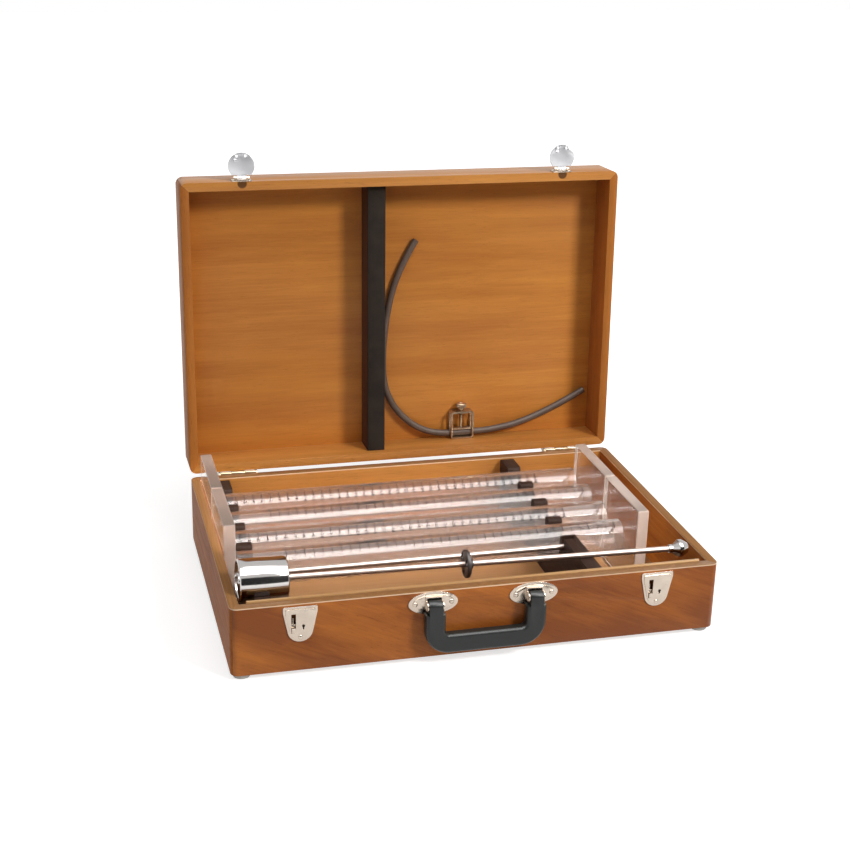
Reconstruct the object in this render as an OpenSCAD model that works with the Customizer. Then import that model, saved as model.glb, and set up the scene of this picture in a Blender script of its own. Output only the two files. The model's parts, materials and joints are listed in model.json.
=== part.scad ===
// Sand equivalent test set in its hinged wooden case, drawn with the lid open.
// X runs along the case to the right, Y runs to the hinges at the back, Z is up.
// All lengths are millimetres and Z = 0 is the surface that the case feet stand on.

/* [Case] */
// Length of the case over its walls
case_l = 520; // [518:1:580]
// Depth of the case over its walls, front to back
case_d = 344; // [342:1:380]
// Height of the base walls
base_h = 75; // [74:0.5:84]
// Thickness of the case boards
wall = 10; // [8:0.5:11]
// Thickness of the floor panel
floor_t = 6; // [4:0.5:7]
// Radius of the upright outer corners
corner_r = 8; // [6:0.5:9.5]
// How far the floor and lid panels are let into the boards
rebate = 5; // [3:0.5:5.5]
// Diameter of a foot
foot_d = 20; // [14:1:22]
// Height of a foot
foot_h = 6; // [4:0.5:12]
// Distance of a foot's centre from the outer faces
foot_inset = 12; // [11:0.5:20]

/* [Front lip] */
// Thickness of the strip inside the front board
lip_t = 4; // [2.5:0.5:4.5]
// Height of the strip
lip_h = 18; // [10:1:30]
// How far the strip stands above the rim
lip_rise = 1.5; // [1:0.5:3]
// Distance of the strip's ends from the side boards
lip_short = 8; // [1:0.5:20]

/* [Lid] */
// Depth inside the lid, from its rim to its panel
lid_inner = 44; // [43:0.5:60]
// Thickness of the lid panel
lid_panel_t = 4; // [3:0.5:6]
// Gap between the rims of the closed case
seam = 0.5; // [0.3:0.1:1]
// Lean of the open lid past upright, in degrees
lid_lean = 2.5; // [0:0.5:4]
// Width of the hold-down bar
bar_w = 21; // [15:1:30]
// Distance of the bar's middle from the case's middle, to the left
bar_x = 33; // [30:0.5:34]
// Distance of the bar's pad from the rim plane
bar_recess = 8.5; // [8.2:0.1:12]
// Thickness of the pad on the bar
pad_t = 3; // [1:0.5:6]

/* [Hinges] */
// Distance of each hinge's middle from the case's ends
hinge_x = 57; // [45:1:110]
// Length of the hinge knuckles
hinge_l = 42; // [36:1:60]
// Height of one hinge leaf
leaf_h = 22; // [18:1:26]
// Thickness of a leaf and of the other sheet fittings
leaf_t = 1.2; // [0.8:0.1:1.5]
// Diameter of the hinge pin
pin_d = 2.2; // [1.6:0.1:2.8]
// Outer diameter of the knuckles
knuckle_d = 4.4; // [4.2:0.1:4.8]
// Distance of the hinge pin behind the back boards
pin_out = 2.6; // [2.6:0.1:7]

/* [Cylinders] */
// Outer diameter of a graduated cylinder
tube_od = 38.1; // [34:0.1:40]
// Inner diameter of a graduated cylinder
tube_id = 31.75; // [28:0.05:32]
// Length of a graduated cylinder above its base plate
tube_l = 431.8; // [425:0.1:432]
// Side of the square base plate
plate_s = 101.6; // [99:0.1:103]
// Thickness of the base plate
plate_t = 12.7; // [9:0.1:13]
// Gap between one plate and the next in a row
plate_gap = 1.9; // [1:0.1:3]
// Gap between the outermost plates and the boards
plate_end_gap = 1; // [0.5:0.1:1.5]
// Gap between the open end of a cylinder and the next cylinder's plate
tip_gap = 0.4; // [0.3:0.05:1]

/* [Racks] */
// Thickness of a rack board
rack_t = 16; // [10:1:18]
// Height of a rack above the floor panel
rack_h = 67.5; // [66:0.5:69]
// Gap between the left plates and the left rack
rack_gap = 4.3; // [2:0.1:6]
// Distance from the right rack to the right plates
rack_back = 60.9; // [40:0.1:90]
// Clearance round what lies in the racks
nest = 0.3; // [0.25:0.05:0.5]
// Radius of the rounded tooth tops
tooth_r = 4; // [2:0.5:5]
// Depth of the pockets for the irrigator tube, from the inner faces
pocket = 13; // [8:0.5:13]

/* [Weighted foot assembly] */
// Diameter of the weight
weight_d = 44.5; // [40:0.1:48]
// Length of the weight
weight_l = 50; // [45:0.1:56]
// Diameter of the rod
rod_d = 6.35; // [5:0.05:7]
// Length of the rod from the weight to the foot
rod_l = 417; // [400:1:418]
// Height of the weight's axis over the left rack's top
weight_over = 9.5; // [9:0.1:10.5]
// Height of the rod's axis over the right rack's top
rod_over = 3; // [1:0.1:3.2]
// Distance of the rod's line in front of the front cylinder's axis
rod_ahead = 81; // [78:0.5:83]
// Gap between the weight and the left board
weight_gap = 4; // [3.5:0.5:8]
// Diameter of the foot's rim
tip_d = 19; // [15:0.5:22]
// Length of the foot
tip_l = 21; // [18:0.5:22]
// Diameter of the sand reading indicator
ring_d = 30; // [26:1:31.5]
// Thickness of the indicator's rim
ring_t = 4.5; // [3:0.5:6]
// Distance from the foot's tip to the middle of the indicator
ring_at = 248; // [246:1:300]

/* [Irrigator tube] */
// Outer diameter of the irrigator tube
irr_d = 6.35; // [5:0.05:7]
// Bore of the irrigator tube
irr_bore = 4.6; // [3:0.1:4.8]
// Height of the irrigator tube's axis over the cylinders' axes
irr_up = 6.2; // [4:0.1:8]
// Distance of the irrigator tube in front of the front cylinder's axis
irr_ahead = 28.95; // [28.6:0.05:31]

/* [Locks] */
// Distance of each lock's middle from the case's ends
lock_x = 70; // [35:1:110]
// Width of a lock plate at its top
lock_w = 35; // [32:1:40]
// Height of a lock plate
lock_h = 39; // [37:1:44]
// Radius of a lock plate's foot
lock_r = 13; // [11:0.5:14]
// Gap between the lock plate's top and the rim
lock_drop = 3; // [0.8:0.1:5]
// Travel of the lock slide
slide_travel = 4; // [2:0.5:4]
// Diameter of the hasp's disc
hasp_d = 30; // [27:1:32]
// Distance from the hasp's hinge pin to the disc's middle
hasp_reach = 13.4; // [12:0.1:15]
// Distance of the hasp's hinge pin in front of the lid's board
hasp_out = 3.6; // [3.5:0.1:5]
// Height of the hasp's hinge pin over the lid's rim
hasp_up = 5; // [4:0.5:7]
// Thickness of the hasp's disc
hasp_t = 1.6; // [1:0.1:1.8]

/* [Handle] */
// Distance of each handle plate's middle from the case's middle
grip_x = 53.5; // [48:0.5:65]
// Width of the handle's bars, seen from the front
grip_w = 21; // [17:0.5:22]
// Thickness of the handle's bars
grip_t = 13; // [10:0.5:14]
// Distance from the handle's pins down to the grip's middle
grip_drop = 42; // [34:1:44]
// Distance of the handle's pins below the rim
grip_z = 13; // [12:0.5:15]
// Length of an oval handle plate
oval_l = 52; // [46:1:60]
// Height of an oval handle plate
oval_h = 25; // [23.5:0.5:25.5]

/* [Screw clamp] */
// Length of the clamp along the hose
clamp_l = 29; // [20:1:30]
// Travel of the clamp's jaw
jaw_travel = 10; // [3:0.5:12]
// Diameter of the clamp's screw
screw_d = 4; // [3:0.1:4.4]
// Diameter of the clamp's knob
knob_d = 13; // [9:0.5:14]

/* [Hose] */
// Diameter of the rubber hose
hose_d = 8; // [6:0.5:8]

/* [Hidden] */
$fn = 48;

// Small amount by which a cut runs past a face
eps = 0.5;
// Clearance of a part let into another one of the same body
fit = 0.1;
// Running clearance between parts that move on each other
run = 0.3;

// Levels and inner faces of the case
z_case = foot_h;
z_rim = z_case + base_h;
z_floor = z_case + floor_t;
in_x = case_l / 2 - wall;
in_y = case_d / 2 - wall;
z_lid = z_rim + seam;
lid_h = lid_inner + lid_panel_t;

// Hinge line and the open lid's reach to the back
pin_y = case_d / 2 + pin_out;
pin_z = z_rim + seam / 2;
back_reach = pin_y + (case_d + pin_out) * sin(lid_lean) + (lid_h + seam / 2) * cos(lid_lean);

// Handle pins and the handle's reach to the front
plate_off = 1.5;
grip_gap = 1.3;
grip_y = -case_d / 2 - plate_off - grip_gap - grip_t / 2;
front_reach = -grip_y + grip_t / 2;

// The footprint's middle lies on the Z axis
y_mid = (front_reach - back_reach) / 2;

// Cylinders: A and C have their plates at the left end, B and D at the right end
tube_z = z_floor + plate_s / 2;
pitch_y = (plate_s + plate_gap) / 2;
row_gap = 1.5;
row_y = [for (i = [0:3]) in_y - row_gap - plate_s / 2 - i * pitch_y];
left_plate_x = -in_x + plate_end_gap;
left_tube_x = left_plate_x + plate_t;
right_tube_x = left_tube_x + tip_gap;
right_plate_x = right_tube_x + tube_l;

// Racks
rack_z = z_floor + rack_h;
rack_x = [left_tube_x + rack_gap, right_plate_x - rack_back - rack_t];
rack_y0 = -in_y + lip_t + run;
rack_y1 = in_y - run;
notch_r = tube_od / 2 + nest;

// Weighted foot assembly: it slopes down from the left rack to the right one
rod_y = row_y[3] - rod_ahead;
slope = (weight_over - rod_over) / (rack_x[1] - rack_x[0]);
tilt = atan(slope);
function axis_z(x) = rack_z + weight_over - (x - rack_x[0] - rack_t / 2) * slope;
weight_x = -in_x + weight_gap + weight_l;
ring_x = rod_l + tip_l - ring_at;

// Irrigator tube
irr_y = row_y[3] - irr_ahead;
irr_z = tube_z + irr_up;
irr_x0 = rack_x[0] + rack_t - pocket + 1;
irr_x1 = rack_x[1] + pocket - 1;

// Hinges
hinge_mid = case_l / 2 - hinge_x;
ear_t = 1.5;
leaf_w = hinge_l + 2 * ear_t + 2 * fit;
screw_r = 1.4;
head_r = 2.6;
screw_l = 8;
screw_us = [-15, 0, 15];
hinge_screws = [for (s = [-1, 1]) for (u = screw_us) s * hinge_mid + u];
leaf_mid = 15;

// Locks and hasps
lock_mid = case_l / 2 - lock_x;
lock_z = z_rim - lock_drop;
lock_t = 2.5;
slot_x = -7;
slot_w = 4.6;
slot_z0 = lock_h - 10.5;
slot_z1 = 7.5;
slide_w = 7.2;
slide_h = 8;
slide_foot = 0.6;
hasp_y = -case_d / 2 - hasp_out;
hasp_z = z_lid + hasp_up;
hasp_knuckle_r = 2.2;
hasp_knuckle_x = [5, 9];
hasp_pin_r = 1;
staple_at = 20.5;
staple_t = 1.8;
staple_hole_r = 1.1;

// Bolt of the lock slide, which rises through the staple; heights from the lock plate's top
staple_z = hasp_up + seam + lock_drop - staple_at;
bolt_r = staple_hole_r - run;
bolt_y = 2.2;
staple_hole = hasp_out + bolt_y;
staple_l = staple_hole + staple_hole_r + 0.8;
bolt_top = staple_z - staple_t / 2 - 2 * run;
lock_pocket_w = 16;
lock_pocket_d = 7;
lock_pocket_z = -slot_z0 - slide_foot;
lock_pocket_h = bolt_top + slide_travel + 6.4 - lock_pocket_z;

// Rivets of the locks, hasps and handle plates, and the hasps' brackets
rivet_r = 1.3;
rivet_head = 2.4;
rivet_in = 5;
rivet_up = 5.5;
oval_rivet_x = 19;
bracket_rivet_x = 8;
bracket_rivet_up = 5.4;
bracket_w = 22;
bracket_h = 13;

// Clamp on the hose's straight stretch: up the open lid (v) and out from the rim plane (w)
clamp_x = 81.5;
clamp_v = wall + run;
clamp_side = 13.6;
clamp_w = lid_inner - clamp_side / 2 - 1.5;
clamp_plate = 2.2;
clamp_end = 2;
clamp_round = 3;
clamp_room = 9.8;
hose_v = 17;
jaw_t = 2;
jaw_v = hose_v + hose_d / 2 + run;
clamp_top = jaw_v + jaw_t + jaw_travel + clamp_room + clamp_plate - clamp_v;

// Route of the hose on the lid panel: along X, up the open lid (v), out from the rim plane (w)
hose_w = lid_inner - hose_d / 2 - run;
hose_route = [
    [22, 262, hose_w], [16, 252, hose_w], [5, 231, hose_w], [-4, 209, hose_w], [-10, 187, hose_w],
    [-14, 165, hose_w], [-16.5, 143, hose_w], [-17.8, 121, hose_w], [-17.5, 99, hose_w],
    [-14, 78, 39.5], [-6, 59, 39], [6, 43, 38], [21, 30, 37], [38, 21.5, 36.2], [54, 17.8, 35.8],
    [68, 17, clamp_w], [81.5, 17, clamp_w], [95, 17, clamp_w],
    [112, 17.2, 36], [131, 19, 37], [150, 22, 38], [170, 27.5, 39], [190, 35, hose_w],
    [209, 43.5, hose_w], [227, 52.5, hose_w], [236, 57.2, hose_w], [243.4, 61.1, hose_w]
];

// Puts what is drawn in the case's frame over the footprint's middle
module placed() {
    translate([0, y_mid, 0]) children();
}

// Swings what is drawn on the closed lid to the open position
module opened() {
    translate([0, pin_y, pin_z])
        rotate([-(90 + lid_lean), 0, 0])
            translate([0, -pin_y, -pin_z]) children();
}

// Copies for the left and the right fitting
module side(s, x) {
    translate([s * x, 0, 0]) children();
}

// Rectangle with rounded corners about the middle
module rounded(l, d, r) {
    square([l - 2 * r, d], center = true);
    square([l, d - 2 * r], center = true);
    for (sx = [-1, 1]) {
        for (sy = [-1, 1]) {
            translate([sx * (l / 2 - r), sy * (d / 2 - r)]) circle(r);
        }
    }
}

// Case outline in plan, drawn in by a distance
module outline(inset) {
    rounded(case_l - 2 * inset, case_d - 2 * inset, max(corner_r - inset, 1));
}

// One mitred board of a four-board frame; k counts front, right, back, left
module board(k, h) {
    long = (k == 0 || k == 2) ? case_l : case_d;
    deep = (k == 0 || k == 2) ? case_d : case_l;
    m = wall + 1;
    linear_extrude(h) intersection() {
        difference() {
            outline(0);
            square([2 * in_x, 2 * in_y], center = true);
        }
        rotate(90 * k) polygon([
            [-long / 2 - 1, -deep / 2 - 1], [long / 2 + 1, -deep / 2 - 1],
            [long / 2 - m, -deep / 2 + m], [-long / 2 + m, -deep / 2 + m]
        ]);
    }
}

// Board of the base, with the rebate for the floor panel
module base_board(k) {
    difference() {
        translate([0, 0, z_case]) board(k, base_h);
        translate([0, 0, z_case - eps]) linear_extrude(floor_t + eps) outline(wall - rebate);
    }
}

// Board of the closed lid, with the rebate for its panel
module lid_board(k) {
    difference() {
        translate([0, 0, z_lid]) board(k, lid_h);
        translate([0, 0, z_lid + lid_inner]) linear_extrude(lid_panel_t + eps) outline(wall - rebate);
    }
}

// Round bar along X, from x0 to x1
module bar_along_x(x0, x1, r) {
    translate([x0, 0, 0]) rotate([0, 90, 0]) cylinder(h = x1 - x0, r = r);
}

// Flat piece cut to a profile in Y and Z, from x0 to x1
module cut_across(x0, x1) {
    translate([x0, 0, 0]) rotate([90, 0, 90]) linear_extrude(x1 - x0) children();
}

// Pilot hole of a screw or rivet that goes in along +Y
module pilot(r, depth) {
    rotate([-90, 0, 0]) cylinder(h = depth, r = r);
}

// Dome-headed screw with its head on the plane Y = 0 and its shank along +Y
module screw(r_head, r_shank, l) {
    rotate([-90, 0, 0]) rotate_extrude() polygon(concat(
        [for (a = [0:15:90]) [r_head * sin(a), -0.9 * r_head * 0.45 * cos(a) - 0.01]],
        [[r_head, 0], [r_shank, 0], [r_shank, l - r_shank], [0, l]]
    ));
}

module base_front() {
    color([0.62, 0.36, 0.18]) placed() difference() {
        base_board(0);
        for (s = [-1, 1]) {
            side(s, lock_mid) translate([
                slot_x - slide_w / 2 - slide_foot, -case_d / 2 - eps, lock_z + lock_pocket_z
            ]) cube([lock_pocket_w, lock_pocket_d + eps, lock_pocket_h]);
            side(s, lock_mid) translate([0, -case_d / 2 - eps, lock_z - lock_h + rivet_up])
                pilot(rivet_r + fit, rivet_in + fit + eps);
            for (u = [-1, 1]) {
                side(s, grip_x) translate([u * oval_rivet_x, -case_d / 2 - eps, z_rim - grip_z])
                    pilot(rivet_r + fit, rivet_in + fit + eps);
            }
        }
    }
}

module base_back() {
    color([0.55, 0.31, 0.15]) placed() difference() {
        base_board(2);
        for (x = hinge_screws) {
            translate([x, case_d / 2 + eps, pin_z - leaf_mid]) rotate([0, 0, 180])
                pilot(screw_r + fit, screw_l - leaf_t + fit + eps);
        }
    }
}

module base_left() {
    color([0.58, 0.33, 0.16]) placed() base_board(3);
}

module base_right() {
    color([0.58, 0.33, 0.16]) placed() base_board(1);
}

module base_floor() {
    color([0.60, 0.38, 0.20]) placed()
        translate([0, 0, z_case]) linear_extrude(floor_t) outline(wall - rebate + fit);
}

// Strip that stands a little above the rim; its outer edge is eased for the closing lid
module front_lip() {
    l = in_x - lip_short;
    ease = 1;
    z1 = z_rim + lip_rise;
    color([0.78, 0.55, 0.32]) placed() cut_across(-l, l) polygon([
        [-in_y, z1 - lip_h], [-in_y, z_rim - eps], [-in_y + ease, z1],
        [-in_y + lip_t - 0.6, z1], [-in_y + lip_t, z1 - 0.6], [-in_y + lip_t, z1 - lip_h]
    ]);
}

module feet() {
    r = foot_d / 2;
    e = 1;
    color([0.85, 0.84, 0.82]) placed() for (sx = [-1, 1]) {
        for (sy = [-1, 1]) {
            translate([sx * (case_l / 2 - foot_inset), sy * (case_d / 2 - foot_inset), 0])
                rotate_extrude() polygon([[0, 0], [r - e - 1, 0], [r - 1, e], [r, foot_h], [0, foot_h]]);
        }
    }
}

// Tooth of a rack between y0 and y1, from the tubes' axis up, with rounded top corners
module tooth(y0, y1, r) {
    translate([y0, tube_z]) square([y1 - y0, rack_z - tube_z - r]);
    translate([y0 + r, tube_z]) square([y1 - y0 - 2 * r, rack_z - tube_z]);
    translate([y0 + r, rack_z - r]) circle(r);
    translate([y1 - r, rack_z - r]) circle(r);
}

// Rack profile: notches for the four cylinders, teeth between them and a shoulder in front
module rack_profile() {
    difference() {
        union() {
            translate([rack_y0, z_floor]) square([rack_y1 - rack_y0, tube_z - z_floor + eps]);
            tooth(row_y[0] + notch_r, rack_y1, tooth_r);
            for (i = [0:2]) {
                tooth(row_y[i + 1] + notch_r, row_y[i] - notch_r, tooth_r);
            }
            tooth(rack_y0, row_y[3] - notch_r, tooth_r);
        }
        for (y = row_y) {
            translate([y, tube_z]) circle(notch_r);
        }
    }
}

// Open-topped pocket for one end of the irrigator tube, cut over a length along X
module irrigator_slot(x0, x1) {
    r = irr_d / 2 + nest;
    translate([x0, irr_y, irr_z]) rotate([0, 90, 0]) cylinder(h = x1 - x0, r = r);
    translate([x0, irr_y - r, irr_z]) cube([x1 - x0, 2 * r, rack_z - irr_z + eps]);
}

// Left rack with the cradle for the weight
module rack_left() {
    x0 = rack_x[0];
    color([0.25, 0.16, 0.11]) placed() difference() {
        cut_across(x0, x0 + rack_t) rack_profile();
        translate([0, rod_y, axis_z(x0 + rack_t)])
            bar_along_x(x0 - eps, x0 + rack_t + eps, weight_d / 2 + nest);
        irrigator_slot(x0 + rack_t - pocket, x0 + rack_t + eps);
    }
}

// Right rack with the groove for the rod
module rack_right() {
    x0 = rack_x[1];
    color([0.25, 0.16, 0.11]) placed() difference() {
        cut_across(x0, x0 + rack_t) rack_profile();
        translate([0, rod_y, axis_z(x0 + rack_t)])
            bar_along_x(x0 - eps, x0 + rack_t + eps, rod_d / 2 + nest);
        irrigator_slot(x0 - eps, x0 + pocket);
    }
}

module lid_front() {
    color([0.66, 0.42, 0.22]) placed() opened() difference() {
        lid_board(0);
        for (s = [-1, 1]) {
            for (u = [-1, 1]) {
                translate([s * lock_mid + u * bracket_rivet_x, -case_d / 2 - eps, hasp_z + bracket_rivet_up])
                    pilot(rivet_r + fit, rivet_in + fit + eps);
            }
        }
    }
}

module lid_back() {
    color([0.66, 0.42, 0.22]) placed() opened() difference() {
        lid_board(2);
        for (x = hinge_screws) {
            translate([x, case_d / 2 + eps, pin_z + leaf_mid]) rotate([0, 0, 180])
                pilot(screw_r + fit, screw_l - leaf_t + fit + eps);
        }
    }
}

module lid_left() {
    color([0.66, 0.42, 0.22]) placed() opened() lid_board(3);
}

module lid_right() {
    color([0.66, 0.42, 0.22]) placed() opened() lid_board(1);
}

module lid_panel() {
    color([0.68, 0.43, 0.20]) placed() opened() translate([0, 0, z_lid + lid_inner])
        linear_extrude(lid_panel_t) outline(wall - rebate + fit);
}

// Bar across the lid that keeps the cylinders down in the closed case
module hold_down_bar() {
    z0 = z_lid + bar_recess + pad_t;
    color([0.36, 0.22, 0.13]) placed() opened()
        translate([-bar_x - bar_w / 2, -in_y, z0]) cube([bar_w, 2 * in_y, z_lid + lid_inner - z0]);
}

module bar_pad() {
    color([0.12, 0.11, 0.10]) placed() opened()
        translate([-bar_x - bar_w / 2, -in_y + fit, z_lid + bar_recess])
            cube([bar_w, 2 * in_y - 2 * fit, pad_t]);
}

// Web from a leaf to its knuckle, about the pin, for the leaf below the pin
module hinge_web() {
    polygon([
        [-pin_out, -8], [-pin_out + leaf_t, -8.4], [0.6, -knuckle_d / 2 + 0.1],
        [-0.6, -pin_d / 2 - 0.3], [-2.2, -pin_d / 2 - 0.3], [-pin_out, -5]
    ]);
}

// Leaf that lies below the pin, with its outer knuckles and the ears that stop the open lid
module hinge_base_leaf() {
    k = hinge_l / 2;
    m = hinge_l / 5;
    difference() {
        union() {
            cut_across(-leaf_w / 2, leaf_w / 2) translate([-pin_out, -leaf_h]) square([leaf_t, leaf_h - 5]);
            for (s = [-1, 1]) {
                x0 = s > 0 ? m : -k;
                cut_across(x0, x0 + k - m) hinge_web();
                bar_along_x(x0, x0 + k - m, knuckle_d / 2);
                e0 = s > 0 ? k + fit : -k - fit - ear_t;
                cut_across(e0, e0 + ear_t) hinge_ear();
            }
        }
        bar_along_x(-k - 0.05, k + 0.05, pin_d / 2 + 0.05);
        for (u = screw_us) {
            translate([u, -pin_out - eps, -leaf_mid]) pilot(screw_r + fit, leaf_t + 2 * eps);
        }
    }
}

// Ear of the base leaf; its sloping top edge is parallel to the open lid's leaf
module hinge_ear() {
    top = pin_out - leaf_t - run;
    reach = 16;
    polygon([
        [-pin_out, -leaf_h], [-pin_out, -2], [-0.8 * top, 0.3 * top], [0, top - 0.05],
        [reach, top - 0.05 - reach * sin(lid_lean)], [reach, top - 2.4], [2, -9], [-pin_out + leaf_t, -leaf_h]
    ]);
}

// Leaf on the lid, drawn above the pin as the closed lid has it
module hinge_lid_leaf() {
    m = hinge_l / 5 - run;
    difference() {
        union() {
            cut_across(-leaf_w / 2, leaf_w / 2) translate([-pin_out, 5]) square([leaf_t, leaf_h - 5]);
            cut_across(-m, m) mirror([0, 1]) hinge_web();
            bar_along_x(-m, m, knuckle_d / 2);
        }
        bar_along_x(-m - eps, m + eps, pin_d / 2 + 0.15);
        for (u = screw_us) {
            translate([u, -pin_out - eps, leaf_mid]) pilot(screw_r + fit, leaf_t + 2 * eps);
        }
    }
}

module hinge_at(s) {
    translate([s * hinge_mid, pin_y, pin_z]) children();
}

module hinge_leaf_base_left() {
    color([0.72, 0.70, 0.66]) placed() hinge_at(-1) hinge_base_leaf();
}

module hinge_leaf_base_right() {
    color([0.72, 0.70, 0.66]) placed() hinge_at(1) hinge_base_leaf();
}

module hinge_leaf_lid_left() {
    color([0.72, 0.70, 0.66]) placed() opened() hinge_at(-1) hinge_lid_leaf();
}

module hinge_leaf_lid_right() {
    color([0.72, 0.70, 0.66]) placed() opened() hinge_at(1) hinge_lid_leaf();
}

module hinge_pins() {
    color([0.75, 0.74, 0.72]) placed() for (s = [-1, 1]) {
        hinge_at(s) bar_along_x(-hinge_l / 2, hinge_l / 2, pin_d / 2);
    }
}

module hinge_screws_base() {
    color([0.75, 0.74, 0.72]) placed() for (x = hinge_screws) {
        translate([x, case_d / 2 + leaf_t, pin_z - leaf_mid]) rotate([0, 0, 180])
            screw(head_r, screw_r, screw_l);
    }
}

module hinge_screws_lid() {
    color([0.75, 0.74, 0.72]) placed() opened() for (x = hinge_screws) {
        translate([x, case_d / 2 + leaf_t, pin_z + leaf_mid]) rotate([0, 0, 180])
            screw(head_r, screw_r, screw_l);
    }
}

// Shield outline with its top edge on the X axis: straight sides that run down to a round foot
module shield(w, h, r) {
    shoulder = 6;
    c = [0, -h + r];
    p = [w / 2, -shoulder];
    a = atan2(p[1] - c[1], p[0] - c[0]) - acos(r / norm(p - c));
    t = c + r * [cos(a), sin(a)];
    polygon(concat(
        [[-w / 2 + 1, 0], [w / 2 - 1, 0], [w / 2, -1], p],
        [for (i = [0:12]) c + r * [cos(a - i * (180 + 2 * a) / 12), sin(a - i * (180 + 2 * a) / 12)]],
        [[-p[0], p[1]], [-w / 2, -1]]
    ));
}

// Lock plate: a raised shield with the slot for the staple and the slide, and a keyhole
module lock_plate() {
    translate([0, -case_d / 2, lock_z]) difference() {
        union() {
            rotate([90, 0, 0]) linear_extrude(leaf_t) shield(lock_w, lock_h, lock_r);
            rotate([90, 0, 0]) linear_extrude(lock_t) translate([0, -2.5])
                shield(lock_w - 5, lock_h - 5, lock_r - 2.5);
        }
        translate([slot_x - slot_w / 2, -lock_t - eps, -slot_z0])
            cube([slot_w, lock_t + 2 * eps, slot_z0 - slot_z1]);
        translate([3, -lock_t - eps, -21]) pilot(1.5, lock_t + 2 * eps);
        translate([3 - 0.7, -lock_t - eps, -25]) cube([1.4, lock_t + 2 * eps, 4]);
        translate([0, -lock_t - eps, -lock_h + rivet_up]) pilot(rivet_r + fit, lock_t + 2 * eps);
    }
}

// Slide behind the lock plate: thumb piece in the slot and a bolt that rises through the staple
module lock_slide() {
    back = 0.3;
    translate([slot_x, -case_d / 2 + back, lock_z - slot_z0]) {
        translate([-slide_w / 2, 0, slide_foot]) cube([slide_w, 3.4, slide_h]);
        translate([-slot_w / 2 + run, -lock_t - back - 1.8, 1])
            cube([slot_w - 2 * run, lock_t + back + 2.4, 5]);
        translate([0, bolt_y - back, slide_h]) cylinder(h = bolt_top + slot_z0 - slide_h, r = bolt_r);
    }
}

module lock_plate_left() {
    color([0.85, 0.83, 0.80]) placed() side(-1, lock_mid) lock_plate();
}

module lock_plate_right() {
    color([0.85, 0.83, 0.80]) placed() side(1, lock_mid) lock_plate();
}

module lock_slide_left() {
    color([0.80, 0.79, 0.76]) placed() side(-1, lock_mid) lock_slide();
}

module lock_slide_right() {
    color([0.80, 0.79, 0.76]) placed() side(1, lock_mid) lock_slide();
}

module lock_rivets() {
    color([0.80, 0.78, 0.74]) placed() for (s = [-1, 1]) {
        side(s, lock_mid) translate([0, -case_d / 2 - lock_t, lock_z - lock_h + rivet_up])
            screw(rivet_head, rivet_r, lock_t + rivet_in);
    }
}

// Bracket of a hasp on the closed lid's front board, with two knuckles
module hasp_bracket() {
    k = hasp_knuckle_x;
    web = hasp_knuckle_r - run;
    translate([0, hasp_y, hasp_z]) difference() {
        union() {
            translate([-bracket_w / 2, hasp_out - leaf_t, -hasp_up + 0.4])
                cube([bracket_w, leaf_t, bracket_h]);
            for (s = [-1, 1]) {
                x0 = s > 0 ? k[0] : -k[1];
                bar_along_x(x0, x0 + k[1] - k[0], hasp_knuckle_r);
                translate([x0, 0, -web]) cube([k[1] - k[0], hasp_out - leaf_t + fit, 2 * web]);
            }
        }
        bar_along_x(-k[1] - eps, k[1] + eps, hasp_pin_r + 0.05);
        for (u = [-1, 1]) {
            translate([u * bracket_rivet_x, hasp_out - leaf_t - eps, bracket_rivet_up])
                pilot(rivet_r + fit, leaf_t + 2 * eps);
        }
    }
}

// Hasp as it stands out from the closed lid: round disc, knuckle and the staple below the disc
module hasp() {
    k = hasp_knuckle_x[0] - run;
    translate([0, hasp_y, hasp_z]) difference() {
        union() {
            intersection() {
                translate([0, -hasp_reach, -hasp_t / 2]) cylinder(h = hasp_t, r = hasp_d / 2);
                translate([-hasp_d / 2, -hasp_reach - hasp_d / 2, -hasp_t / 2])
                    cube([hasp_d, hasp_reach + hasp_d / 2 - 3.2, hasp_t]);
            }
            translate([0, -hasp_reach - 1, hasp_t / 2 - 0.3]) rotate_extrude()
                polygon([[0, 0], [hasp_d / 2 - 5, 0], [hasp_d / 2 - 6, 0.9], [0, 0.9]]);
            translate([-k, -4, -hasp_t / 2]) cube([2 * k, 4, hasp_t]);
            bar_along_x(-k, k, hasp_knuckle_r);
            translate([slot_x - 1.6, -staple_at - staple_t / 2, -staple_l])
                cube([3.2, staple_t, staple_l - hasp_t / 2 + fit]);
        }
        bar_along_x(-k - eps, k + eps, hasp_pin_r + 0.15);
        for (s = [-1, 1]) {
            translate([s * 5 - 1.2, -hasp_reach - hasp_d / 2 + 2.2, -hasp_t]) cube([2.4, 3.2, 3 * hasp_t]);
        }
        translate([slot_x, -staple_at + 2, -staple_hole]) rotate([90, 0, 0])
            cylinder(h = 4, r = staple_hole_r);
    }
}

module hasp_bracket_left() {
    color([0.80, 0.79, 0.77]) placed() opened() side(-1, lock_mid) hasp_bracket();
}

module hasp_bracket_right() {
    color([0.80, 0.79, 0.77]) placed() opened() side(1, lock_mid) hasp_bracket();
}

module hasp_left() {
    color([0.82, 0.82, 0.82]) placed() opened() side(-1, lock_mid) hasp();
}

module hasp_right() {
    color([0.82, 0.82, 0.82]) placed() opened() side(1, lock_mid) hasp();
}

module hasp_pins() {
    color([0.75, 0.74, 0.72]) placed() opened() for (s = [-1, 1]) {
        side(s, lock_mid) translate([0, hasp_y, hasp_z])
            bar_along_x(-hasp_knuckle_x[1], hasp_knuckle_x[1], hasp_pin_r);
    }
}

module hasp_rivets() {
    color([0.75, 0.74, 0.72]) placed() opened() for (s = [-1, 1]) {
        for (u = [-1, 1]) {
            translate([s * lock_mid + u * bracket_rivet_x, -case_d / 2 - leaf_t, hasp_z + bracket_rivet_up])
                screw(rivet_head, rivet_r, leaf_t + rivet_in);
        }
    }
}

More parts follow.
